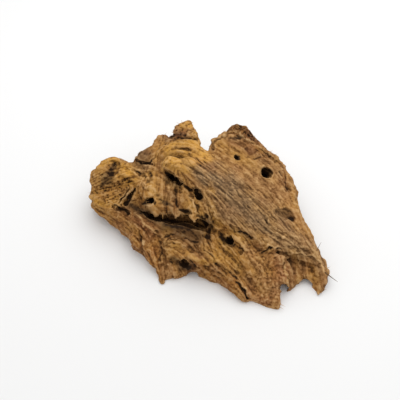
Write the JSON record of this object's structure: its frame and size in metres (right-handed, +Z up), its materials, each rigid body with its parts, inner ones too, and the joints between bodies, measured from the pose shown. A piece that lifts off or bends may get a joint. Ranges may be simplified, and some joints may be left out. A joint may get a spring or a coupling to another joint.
{
  "type": "driftwood piece",
  "caption": "Weathered root driftwood chunk for an aquarium, low at the front and high at the back, with a broad limb, a knobby limb, an undercut lip and a round borer hole.",
  "frame": {"origin": "on the table, under the middle of the chunk's bounding box", "axes": "+X to the right along the longest side, +Y to the back, away from the low front edge, +Z up"},
  "size_m": [0.1986, 0.155, 0.062],
  "materials": {
    "trunk_wood": "matte, weathered, grooved along the grain",
    "left_limb_wood": "matte, spongy end grain",
    "crown_stub_wood": "matte, broken end",
    "right_limb_wood": "matte, water-worn smooth"
  },
  "bodies": {
    "root": {"trunk": "trunk_wood", "left_limb": "left_limb_wood", "crown_stub": "crown_stub_wood", "right_limb": "right_limb_wood"}
  },
  "joints": []
}
